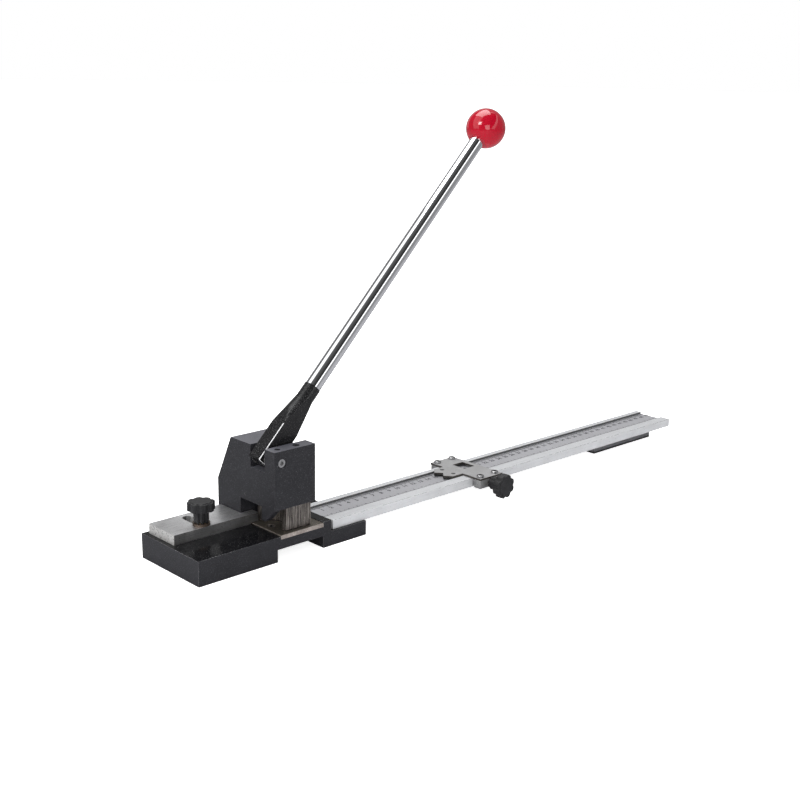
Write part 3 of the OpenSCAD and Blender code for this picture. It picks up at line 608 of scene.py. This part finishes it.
def machined(node, name, body, slot, width, finishes, shortest=2.5 * MM, sides=(), test=None,
             worn=None, clamp=True):
    """A CAD node's part with its long edges broken, its bevels in the second finish where they
    pass the highlight test, and the faces along each given direction in a finish of their own."""
    piece = copy_node(node, finishes)
    if select_edges(piece, shortest, test=test):
        bevel(width, clamp=clamp, material=EDGE)
    mesh = bmesh.from_edit_mesh(piece.data)
    mesh.normal_update()
    for face in mesh.faces:
        if face.material_index == EDGE:
            if worn and not worn(face):
                face.material_index = PLAIN
            continue
        for direction, index in sides:
            if face.normal.dot(direction) > FACING:
                face.material_index = index
    bmesh.update_edit_mesh(piece.data)
    mode("OBJECT")
    smooth(piece)
    return settle(piece, name, body, slot, node)


def dress(finish_name, *nodes):
    """Gives CAD nodes that stay as they are a finish of their own."""
    for name in nodes:
        node = frame["nodes"][name]
        if not node.material_slots:
            node.data.materials.append(MATERIALS[finish_name])
        for place in node.material_slots:
            place.material = MATERIALS[finish_name]


def select_faces(piece, test):
    """Selects the faces of a mesh in edit mode that pass a test."""
    mesh = bmesh.from_edit_mesh(piece.data)
    bpy.ops.mesh.select_mode(type="FACE")
    bpy.ops.mesh.select_all(action="DESELECT")
    mesh.normal_update()
    for face in mesh.faces:
        if test(face):
            face.select_set(True)
    bmesh.update_edit_mesh(piece.data)


def join(pieces):
    """Joins copies into one piece."""
    clear()
    for piece in pieces:
        piece.select_set(True)
    bpy.context.view_layer.objects.active = pieces[0]
    bpy.ops.object.join()
    return bpy.context.object


def step_out(distance, share):
    """Extrudes the selected cap along Z, then scales it about its middle."""
    pull(distance)
    bpy.ops.transform.resize(value=(share, share, 1))


def star_knob(axis):
    """A moulded knob with eight lobes, its hub's end at the origin and its head along the axis."""
    low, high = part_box("fence_knob")
    radius, height = (high.x - low.x) / 2, high.z - low.z
    crown = sizes().knob_crown
    head = KNOB_HEAD * height - crown
    steps = KNOB_LOBES * LOBE_STEPS
    clear()
    bpy.ops.mesh.primitive_cylinder_add(vertices=steps, radius=radius, depth=head,
                                        location=(0, 0, 0))
    knob = bpy.context.object
    mode("EDIT")
    # press the valleys between the lobes in, deepest at their middle
    for distance, share in enumerate(KNOB_VALLEY):
        mesh = bmesh.from_edit_mesh(knob.data)
        bpy.ops.mesh.select_mode(type="VERT")
        bpy.ops.mesh.select_all(action="DESELECT")
        for vertex in mesh.verts:
            turn = math.atan2(vertex.co.y, vertex.co.x) / (2 * math.pi) * steps
            off = abs((round(turn) + LOBE_STEPS // 2) % LOBE_STEPS - LOBE_STEPS // 2)
            if off == distance:
                vertex.select_set(True)
        bmesh.update_edit_mesh(knob.data)
        bpy.ops.transform.resize(value=(share, share, 1))
    # raised crown on the outer face
    select_faces(knob, lambda f: f.normal.z > FACING)
    step_out(0, 0.82)
    step_out(crown, 0.965)
    # hub below the inner face, hollowed round its insert
    select_faces(knob, lambda f: f.normal.z < -FACING)
    step_out(0, HUB_ROOT)
    step_out(-0.6 * MM, KNOB_HUB / HUB_ROOT)
    step_out(-(height - head - crown - 1.1 * MM), 0.95)
    step_out(-0.5 * MM, 0.93)
    step_out(0, 0.75)
    step_out(0.3 * MM, 1)
    select_edges(knob, 0, math.radians(40),
                 lambda e: all(abs(abs(v.co.z) - head / 2) < 0.01 * MM and
                               v.co.xy.length > 0.83 * radius for v in e.verts))
    bevel(sizes().knob_edge, 3, profile=0.6, clamp=True)
    mode("OBJECT")
    smooth(knob, 32)
    stand(knob, axis, axis * (height - head / 2 - crown))
    return knob


# ---------- operators ----------

class CutterOperator:
    """What every operator of the machine shares."""

    bl_options = {"REGISTER", "UNDO"}

    def execute(self, context):
        self.build()
        return {"FINISHED"}


class STRAPCUTTER_OT_finishes(CutterOperator, bpy.types.Operator):
    """Builds the shared effects and the finishes"""

    bl_idname = "strapcutter.finishes"
    bl_label = "Finishes"

    def build(self):
        make_materials()


class STRAPCUTTER_OT_base(CutterOperator, bpy.types.Operator):
    """Models the base with rubbed edges, painted lighter as edge highlights too, and an oiled top
    """

    bl_idname = "strapcutter.base"
    bl_label = "Base"

    def build(self):
        # the base's bevels take the rubbed edge with a painted highlight
        machined("base", "base_block", "frame", "base_steel", sizes().block_edge,
                 ("black_side", "worn_edge", "black_top"), sides=[(UP, SECOND)])


class STRAPCUTTER_OT_head(CutterOperator, bpy.types.Operator):
    """Models the head with rubbed edges, painted lighter as edge highlights too, and a top painted
    lighter as a sheen
    """

    bl_idname = "strapcutter.head"
    bl_label = "Head"

    def build(self):
        # the head's top takes the painted sheen, its bevels the rubbed edge with a painted
        # highlight
        machined("head_block", "head_body", "frame", "head_steel", sizes().block_edge,
                 ("black_side", "worn_edge", "head_top"), sides=[(UP, SECOND)])
        dress("black_screw", "head_bolts", "oil_plugs", "pivot_set_screw")
        dress("bright_screw", "head_dowels")
        dress("pin_steel", "pivot_pin", "yoke_spacers")


class STRAPCUTTER_OT_tool(CutterOperator, bpy.types.Operator):
    """Models the die plate, the punch and the ram"""

    bl_idname = "strapcutter.tool"
    bl_label = "Die, Punch and Ram"

    def build(self):
        edge = sizes().plate_edge
        machined("die_plate", "die_plate_ground", "frame", "die_steel", edge,
                 ("die_top", "die_edge", "die_edge"),
                 sides=[(FRONT, SECOND), (ALONG, SECOND)])
        machined("punch", "punch_block", "ram", "punch_steel", edge * 0.6,
                 ("punch_side", "die_edge"))
        machined("ram", "ram_block", "ram", "ram_steel", edge, ("ram_steel", "bright_edge"))
        dress("bright_screw", "die_screws", "ram_pin")
        dress("black_screw", "punch_screws")


class STRAPCUTTER_OT_lever(CutterOperator, bpy.types.Operator):
    """Models the yoke, the chromed rod and the ball"""

    bl_idname = "strapcutter.lever"
    bl_label = "Lever"

    def build(self):
        # the yoke's near, left-facing bevels take a painted highlight
        machined("lever_yoke", "yoke_forging", "lever", "yoke_black", sizes().yoke_edge,
                 ("yoke_black", "yoke_edge"), shortest=5 * MM, test=self.outer_edge,
                 worn=self.near_left, clamp=False)
        dress("brass", "yoke_bush")
        dress("black_screw", "rod_set_screw")
        self.model_rod()
        self.model_ball()

    @staticmethod
    def outer_edge(edge):
        """True on the near and far outline of the yoke's flat part, and not round its bores."""
        low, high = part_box("lever_yoke")
        corner = high - low
        point = (edge.verts[0].co + edge.verts[1].co) / 2 - low
        on_flat = min(point.y, corner.y - point.y) < 0.05 * MM
        joint = next(j for j in frame["joints"] if j["name"] == "lever_pivot")
        pivot = Vector(joint["pos_m"]) - low
        bore = math.hypot(point.x - pivot.x, point.z - pivot.z) < 5.3 * MM
        return on_flat and not bore

    @staticmethod
    def near_left(face):
        """True on the bevels at the near side that face up and left, which carry a painted
        highlight.
        """
        return face.normal.y < -0.1 and face.normal.dot(LEFT) > 0.1

    @staticmethod
    def lever_line():
        """The ball's middle and the rod's direction, away from the pivot."""
        low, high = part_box("ball_knob")
        radius = (high.y - low.y) / 2
        ball = Vector((high.x - radius, low.y + radius, high.z - radius))
        joint = next(j for j in frame["joints"] if j["name"] == "lever_pivot")
        return ball, (ball - Vector(joint["pos_m"])).normalized(), radius

    def model_rod(self):
        ball, along, radius = self.lever_line()
        low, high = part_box("lever_rod")
        thick = (high.y - low.y) / 2
        enters_ball, taper = 0.86, 0.93
        corner_gap, hidden, chamfer = 3 * MM, 27 * MM, 0.5 * MM
        top = ball - along * radius * enters_ball
        span = (top - Vector((low.x, ball.y, low.z))).length + corner_gap
        seen = span - hidden
        clear()
        bpy.ops.mesh.primitive_cone_add(vertices=96, radius1=thick, radius2=thick * taper,
                                        depth=seen, end_fill_type="NGON")
        rod = bpy.context.object
        mode("EDIT")
        select_edges(rod, 0, math.radians(60))
        bevel(chamfer)
        # turned spigots that enter the yoke and the ball
        for end, reach, share in ((-1, 26 * MM, 0.70), (1, 10 * MM, 0.6)):
            select_faces(rod, lambda f: is_cap(f, end))
            bpy.ops.mesh.inset(thickness=thick * (1 - share) - chamfer)
            pull(end * reach)
        mode("OBJECT")
        smooth(rod, 30)
        stand(rod, along, top - along * seen / 2)
        give(rod, "rod_chrome")
        settle(rod, "chromed_rod", "lever", "rod_chrome", "lever_rod")

    def model_ball(self):
        ball, along, radius = self.lever_line()
        flat, rim, recess = 0.875 * radius, 2.2 * MM, 14 * MM
        clear()
        bpy.ops.mesh.primitive_uv_sphere_add(segments=96, ring_count=64, radius=radius)
        grip = bpy.context.object
        mode("EDIT")
        bpy.ops.mesh.select_all(action="SELECT")
        bpy.ops.mesh.bisect(plane_co=(0, 0, -flat), plane_no=(0, 0, 1),
                            use_fill=True, clear_inner=True)
        select_edges(grip, 0, math.radians(40))
        bevel(0.6 * MM, 3)
        # recess that the brass insert fills
        select_faces(grip, lambda f: is_cap(f, -1))
        bpy.ops.mesh.inset(thickness=rim)
        pull(recess)
        mode("OBJECT")
        smooth(grip, 40)
        stand(grip, along, ball)
        give(grip, "ball_red")
        settle(grip, "ball_grip", "lever", "ball_red", "ball_knob")
        dress("brass", "ball_insert")


class STRAPCUTTER_OT_fence(CutterOperator, bpy.types.Operator):
    """Models the fence bar"""

    bl_idname = "strapcutter.fence"
    bl_label = "Fence"

    def build(self):
        machined("fence_bar", "fence_plate", "fence", "ground_steel", sizes().fence_edge,
                 ("fence_top", "bright_edge", "fence_side", "fence_end"),
                 sides=[(FRONT, SECOND), (-FRONT, SECOND), (LEFT, THIRD), (ALONG, THIRD)])
        dress("washer_brown", "fence_washer")
        dress("bright_screw", "fence_stud")
        dress("brass", "fence_knob_insert")


class STRAPCUTTER_OT_knobs(CutterOperator, bpy.types.Operator):
    """Models one star knob and copies it for the fence and the stop"""

    bl_idname = "strapcutter.knobs"
    bl_label = "Star Knobs"

    def build(self):
        for node, axis in (("fence_knob", UP), ("stop_knob", FRONT)):
            low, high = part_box(node)
            seat = (low + high) / 2
            reach = abs((high - low).dot(axis)) / 2
            knob = star_knob(axis)
            knob.location = knob.location + seat - axis * reach
            give(knob, "knob_black")
            settle(knob, "star_" + node, node, "knob_black", node)
        dress("bright_screw", "stop_stud")
        dress("brass", "stop_knob_insert")


class STRAPCUTTER_OT_rail(CutterOperator, bpy.types.Operator):
    """Models the rail and its foot"""

    bl_idname = "strapcutter.rail"
    bl_label = "Rail"

    def build(self):
        edge = sizes().plate_edge
        rail = machined("rail", "rail_bar", "frame", "rail_alu", edge,
                        ("rail_top", "bright_edge", "rail_side", "channel"),
                        sides=[(FRONT, SECOND), (-FRONT, SECOND), (LEFT, SECOND),
                               (ALONG, SECOND)])
        self.darken_channel(rail)
        machined("rail_foot", "foot_bar", "frame", "foot_grey", edge, ("foot_grey", "foot_grey"))
        machined("rail_foot_pad", "foot_rubber", "frame", "rubber", edge, ("rubber", "rubber"))
        dress("black_screw", "rail_screws", "rail_foot_screws")

    @staticmethod
    def darken_channel(rail):
        """Gives the walls beside the tape a darker, duller finish than the rail's outer sides:
        painted shade in the channel.
        """
        low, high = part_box("scale_tape")
        reach = 3 * MM
        only(rail)
        mode("EDIT")
        mesh = bmesh.from_edit_mesh(rail.data)
        for face in mesh.faces:
            inside = low.y - reach < face.calc_center_median().y < high.y + reach
            if inside and abs(face.normal.y) > FACING:
                face.material_index = THIRD
        bmesh.update_edit_mesh(rail.data)
        mode("OBJECT")


class STRAPCUTTER_OT_scale(CutterOperator, bpy.types.Operator):
    """Models the tape with its lines and numbers"""

    bl_idname = "strapcutter.scale"
    bl_label = "Scale"

    def build(self):
        machined("scale_tape", "scale_strip", "frame", "tape_steel", 0.05 * MM, ("tape", "tape"))
        low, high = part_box("scale_tape")
        first, margin, number_row = low.x + 2.3 * MM, 0.4 * MM, low.y + 16.4 * MM
        count = sizes().scale_count
        lines = []
        for rear in (True, False):
            edge = high.y - margin if rear else low.y + margin
            side = -1 if rear else 1
            for step, reach, wide in ((1, sizes().tick_short, 0.8), (5, sizes().tick_middle, 1),
                                      (10, sizes().tick_long, 1.2)):
                lines.append(self.row_of_lines(first, edge, side, high.z, step, reach,
                                               count * 10 // step + 1, wide))
        piece = join(lines)
        give(piece, "ink")
        settle(piece, "scale_lines", "frame", "tape_steel")
        numbers = [self.number(k, first + (k * 10) * MM, number_row, high.z)
                   for k in range(1, count + 1)]
        piece = join(numbers)
        give(piece, "ink")
        settle(piece, "scale_numbers", "frame", "tape_steel")

    @staticmethod
    def row_of_lines(first, edge, side, top, step, reach, count, wide):
        """One line of the scale, repeated along it."""
        width, ink = sizes().tick_width * wide, sizes().ink_height
        clear()
        bpy.ops.mesh.primitive_cube_add(
            size=1, location=(first, edge + side * reach / 2, top + ink / 2))
        line = bpy.context.object
        mode("EDIT")
        bpy.ops.transform.resize(value=(width, reach, ink))
        mode("OBJECT")
        row = line.modifiers.new("Repeat", "ARRAY")
        row.use_relative_offset = False
        row.use_constant_offset = True
        row.constant_offset_displace = (step * MM, 0, 0)
        row.count = count
        bpy.ops.object.modifier_apply(modifier="Repeat")
        return line

    @staticmethod
    def number(value, x, y, top):
        """A printed number, read from the front."""
        clear()
        bpy.ops.object.text_add(location=(x, y, top + sizes().ink_height / 2))
        text = bpy.context.object
        text.data.body = str(value)
        text.data.size = sizes().number_height * 1.38    # a font's size over its digits' height
        text.data.align_x = text.data.align_y = "CENTER"
        text.data.extrude = sizes().ink_height / 2
        text.data.offset = 0.2 * MM
        text.data.resolution_u = 2
        bpy.ops.object.convert(target="MESH")
        return bpy.context.object


class STRAPCUTTER_OT_stop(CutterOperator, bpy.types.Operator):
    """Models the sliding stop"""

    bl_idname = "strapcutter.stop"
    bl_label = "Stop"

    def build(self):
        edge = sizes().plate_edge * 0.7
        machined("stop_plate", "stop_top_plate", "stop", "stop_steel", edge,
                 ("burnt_edge", "burnt_edge", "stop_top"), sides=[(UP, SECOND)])
        machined("stop_tongue", "stop_slider", "stop", "black_bolt", edge,
                 ("yoke_black", "yoke_black"))
        for end in ("front", "rear"):
            machined(f"stop_{end}_block", f"stop_jaw_{end}", "stop", "stop_steel", edge,
                     ("stop_side", "bright_edge"))
        machined("stop_pad", "stop_clamp_pad", "stop_pad", "bright_bolt", edge,
                 ("bright_screw", "bright_edge"))
        dress("bright_screw", "stop_tongue_screws")
        self.model_screws()

    def model_screws(self):
        """Four button heads with round sockets."""
        low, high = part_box("stop_screws")
        _, plate_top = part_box("stop_plate")
        radius, height = 3.5 * MM, high.z - plate_top.z
        screws = []
        for x in (low.x + radius, high.x - radius):
            for y in (low.y + radius, high.y - radius):
                screws.append(self.button_head(x, y, plate_top.z, radius, height, low.z))
        piece = join(screws)
        settle(piece, "stop_button_screws", "stop", "bright_bolt", "stop_screws")

    @staticmethod
    def button_head(x, y, seat, radius, height, bottom):
        """One screw: its rounded head, the socket in it and the shank below."""
        rounding, socket, shank = sizes().screw_edge * 1.6, 1.6 * MM, 2 * MM
        clear()
        bpy.ops.mesh.primitive_cylinder_add(vertices=48, radius=radius, depth=height,
                                            location=(x, y, seat + height / 2))
        head = bpy.context.object
        give(head, "bright_screw", "black_screw")
        mode("EDIT")
        select_edges(head, 0, math.radians(60), lambda e: e.verts[0].co.z > 0)
        bevel(rounding, 4)
        select_faces(head, lambda f: is_cap(f, 1))
        bpy.ops.mesh.inset(thickness=radius - rounding - socket)
        pull(-height * 0.55)
        # the socket's walls and floor take the black finish: painted shade in the recess
        mesh = bmesh.from_edit_mesh(head.data)
        for face in mesh.faces:
            near = max(v.co.xy.length for v in face.verts) < socket + 0.05 * MM
            sunk = face.calc_center_median().z < 0.45 * height
            face.material_index = 1 if near and sunk else 0
        bmesh.update_edit_mesh(head.data)
        select_faces(head, lambda f: f.normal.z < -SQUARELY)
        bpy.ops.mesh.inset(thickness=radius - shank)
        pull(bottom - seat)
        mode("OBJECT")
        smooth(head)
        return head


class STRAPCUTTER_OT_stage(CutterOperator, bpy.types.Operator):
    """Sets up the pale floor, the soft light and the camera"""

    bl_idname = "strapcutter.stage"
    bl_label = "Stage"

    def build(self):
        look = bpy.context.scene.cutter_stage
        self.make_floor(look)
        self.make_world(look)
        self.make_lights()
        self.make_camera(look)
        bpy.context.scene.view_settings.view_transform = "Standard"

    @staticmethod
    def make_floor(look):
        clear()
        bpy.ops.mesh.primitive_plane_add(size=80)
        floor = bpy.context.object
        floor.name = "studio_floor"
        material = bpy.data.materials.new("Pale Floor")
        material.use_nodes = True
        body = material.node_tree.nodes["Principled BSDF"]
        body.inputs["Roughness"].default_value = 0.9
        body.inputs["Specular IOR Level"].default_value = 0.1
        # the floor glows far from the machine, where the lamps no longer reach it
        tree = material.node_tree
        path = put(tree, "ShaderNodeLightPath").outputs
        tree.links.new(blend_colours(tree, path["Is Glossy Ray"], opaque(look.floor_tone),
                                     opaque(look.floor_mirrored)), body.inputs["Base Color"])
        place = put(tree, "ShaderNodeTexCoord").outputs["Object"]
        reach = put(tree, "ShaderNodeVectorMath", {0: place}, operation="LENGTH").outputs["Value"]
        glow = calc(tree, "MULTIPLY", remap(tree, reach, 0.45, 1.6, 0.8, 1.0),
                    path["Is Camera Ray"])
        body.inputs["Emission Color"].default_value = (1, 1, 1, 1)
        tree.links.new(glow, body.inputs["Emission Strength"])
        floor.data.materials.append(material)

    @staticmethod
    def make_world(look):
        world = bpy.data.worlds.new("White Studio")
        world.use_nodes = True
        tree = world.node_tree
        seen = tree.nodes["Background"]
        seen.inputs["Color"].default_value = (1, 1, 1, 1)
        path = put(tree, "ShaderNodeLightPath").outputs
        toward = put(tree, "ShaderNodeTexCoord").outputs["Generated"]
        axes = put(tree, "ShaderNodeSeparateXYZ", {0: toward}).outputs
        # mirrored rays see a dark room whose bright bands lie along the leaning lever: a strip
        # and a low screen in front, a panel overhead and a pale backdrop behind
        lean = put(tree, "ShaderNodeVectorMath", {0: toward, 1: look.lean},
                   operation="DOT_PRODUCT").outputs["Value"]
        turn = calc(tree, "DEGREES", calc(tree, "ARCTAN2", lean,
                    calc(tree, "MULTIPLY", axes["Y"], -1)))
        strip = band(tree, turn, STRIP_EDGES, look.strip)
        panel = band(tree, turn, PANEL_EDGES, look.panel)
        behind = remap(tree, turn, 171, 174, 0.0, look.backdrop)
        low = remap(tree, turn, 2, -6, 0.0, look.low_screen)
        haze = remap(tree, turn, 30, 90, 0.0, look.haze)
        mirrored = calc(tree, "ADD", calc(tree, "ADD", behind, panel),
                        calc(tree, "ADD", calc(tree, "ADD", strip, low),
                             calc(tree, "ADD", haze, look.dark_room)))
        strength = put(tree, "ShaderNodeMix", {0: path["Is Glossy Ray"], 2: look.surround,
                       3: mirrored}).outputs[0]
        room = put(tree, "ShaderNodeBackground", {"Color": (1, 1, 1, 1), "Strength": strength})
        both = put(tree, "ShaderNodeMixShader", {0: path["Is Camera Ray"], 1: room.outputs[0],
                   2: seen.outputs[0]})
        tree.links.new(both.outputs[0], tree.nodes["World Output"].inputs["Surface"])
        bpy.context.scene.world = world

    @staticmethod
    def make_lights():
        centre = Vector((0.15, 0, 0.1))
        for name, place, wide, power in (("Key", (-1.45, -0.15, 1.35), 0.6, 17),
                                         ("Fill", (-0.8, -1.4, 0.6), 0.8, 7),
                                         ("Top", (0.35, 0.5, 2.0), 1.5, 30)):
            data = bpy.data.lights.new(name, "AREA")
            data.energy = power
            data.size = wide
            lamp = bpy.data.objects.new(name, data)
            bpy.context.scene.collection.objects.link(lamp)
            lamp.location = place
            lamp.rotation_mode = "QUATERNION"
            lamp.rotation_quaternion = (centre - Vector(place)).to_track_quat("-Z", "Y")

    @staticmethod
    def make_camera(look):
        data = bpy.data.cameras.new("Camera")
        camera = bpy.data.objects.new("Camera", data)
        bpy.context.scene.collection.objects.link(camera)
        data.lens = look.lens
        data.sensor_width = 36
        data.clip_start, data.clip_end = 0.02, 50
        flat = math.cos(look.elevation)
        ahead = Vector((-math.sin(look.azimuth) * flat, math.cos(look.azimuth) * flat,
                        -math.sin(look.elevation)))
        camera.location = (look.camera_x, look.camera_y, look.camera_z)
        camera.rotation_mode = "QUATERNION"
        camera.rotation_quaternion = (ahead.to_track_quat("-Z", "Y")
                                      @ Quaternion((0, 0, 1), look.roll))
        bpy.context.scene.camera = camera


OPERATORS = (STRAPCUTTER_OT_finishes, STRAPCUTTER_OT_base, STRAPCUTTER_OT_head,
             STRAPCUTTER_OT_tool, STRAPCUTTER_OT_lever, STRAPCUTTER_OT_fence,
             STRAPCUTTER_OT_knobs, STRAPCUTTER_OT_rail, STRAPCUTTER_OT_scale,
             STRAPCUTTER_OT_stop, STRAPCUTTER_OT_stage)


class STRAPCUTTER_PT_panel(bpy.types.Panel):
    """The strap cutter's pieces, sizes and colours"""

    bl_idname = "STRAPCUTTER_PT_panel"
    bl_label = "Strap Cutter"
    bl_space_type = "VIEW_3D"
    bl_region_type = "UI"
    bl_category = "Strap Cutter"

    def draw(self, context):
        for operator in OPERATORS:
            self.layout.operator(operator.bl_idname)
        for group in GROUPS:
            box = self.layout.box()
            settings = getattr(context.scene, group)
            for name in settings.__annotations__:
                box.prop(settings, name)


def register():
    for group, kind in GROUPS.items():
        bpy.utils.register_class(kind)
        setattr(bpy.types.Scene, group, PointerProperty(type=kind))
    for kind in (*OPERATORS, STRAPCUTTER_PT_panel):
        bpy.utils.register_class(kind)


def unregister():
    for kind in (*OPERATORS, STRAPCUTTER_PT_panel):
        bpy.utils.unregister_class(kind)
    for group, kind in GROUPS.items():
        delattr(bpy.types.Scene, group)
        bpy.utils.unregister_class(kind)


def main():
    register()
    for operator in OPERATORS:
        family, name = operator.bl_idname.split(".")
        getattr(getattr(bpy.ops, family), name)()


if __name__ == "__main__":
    main()
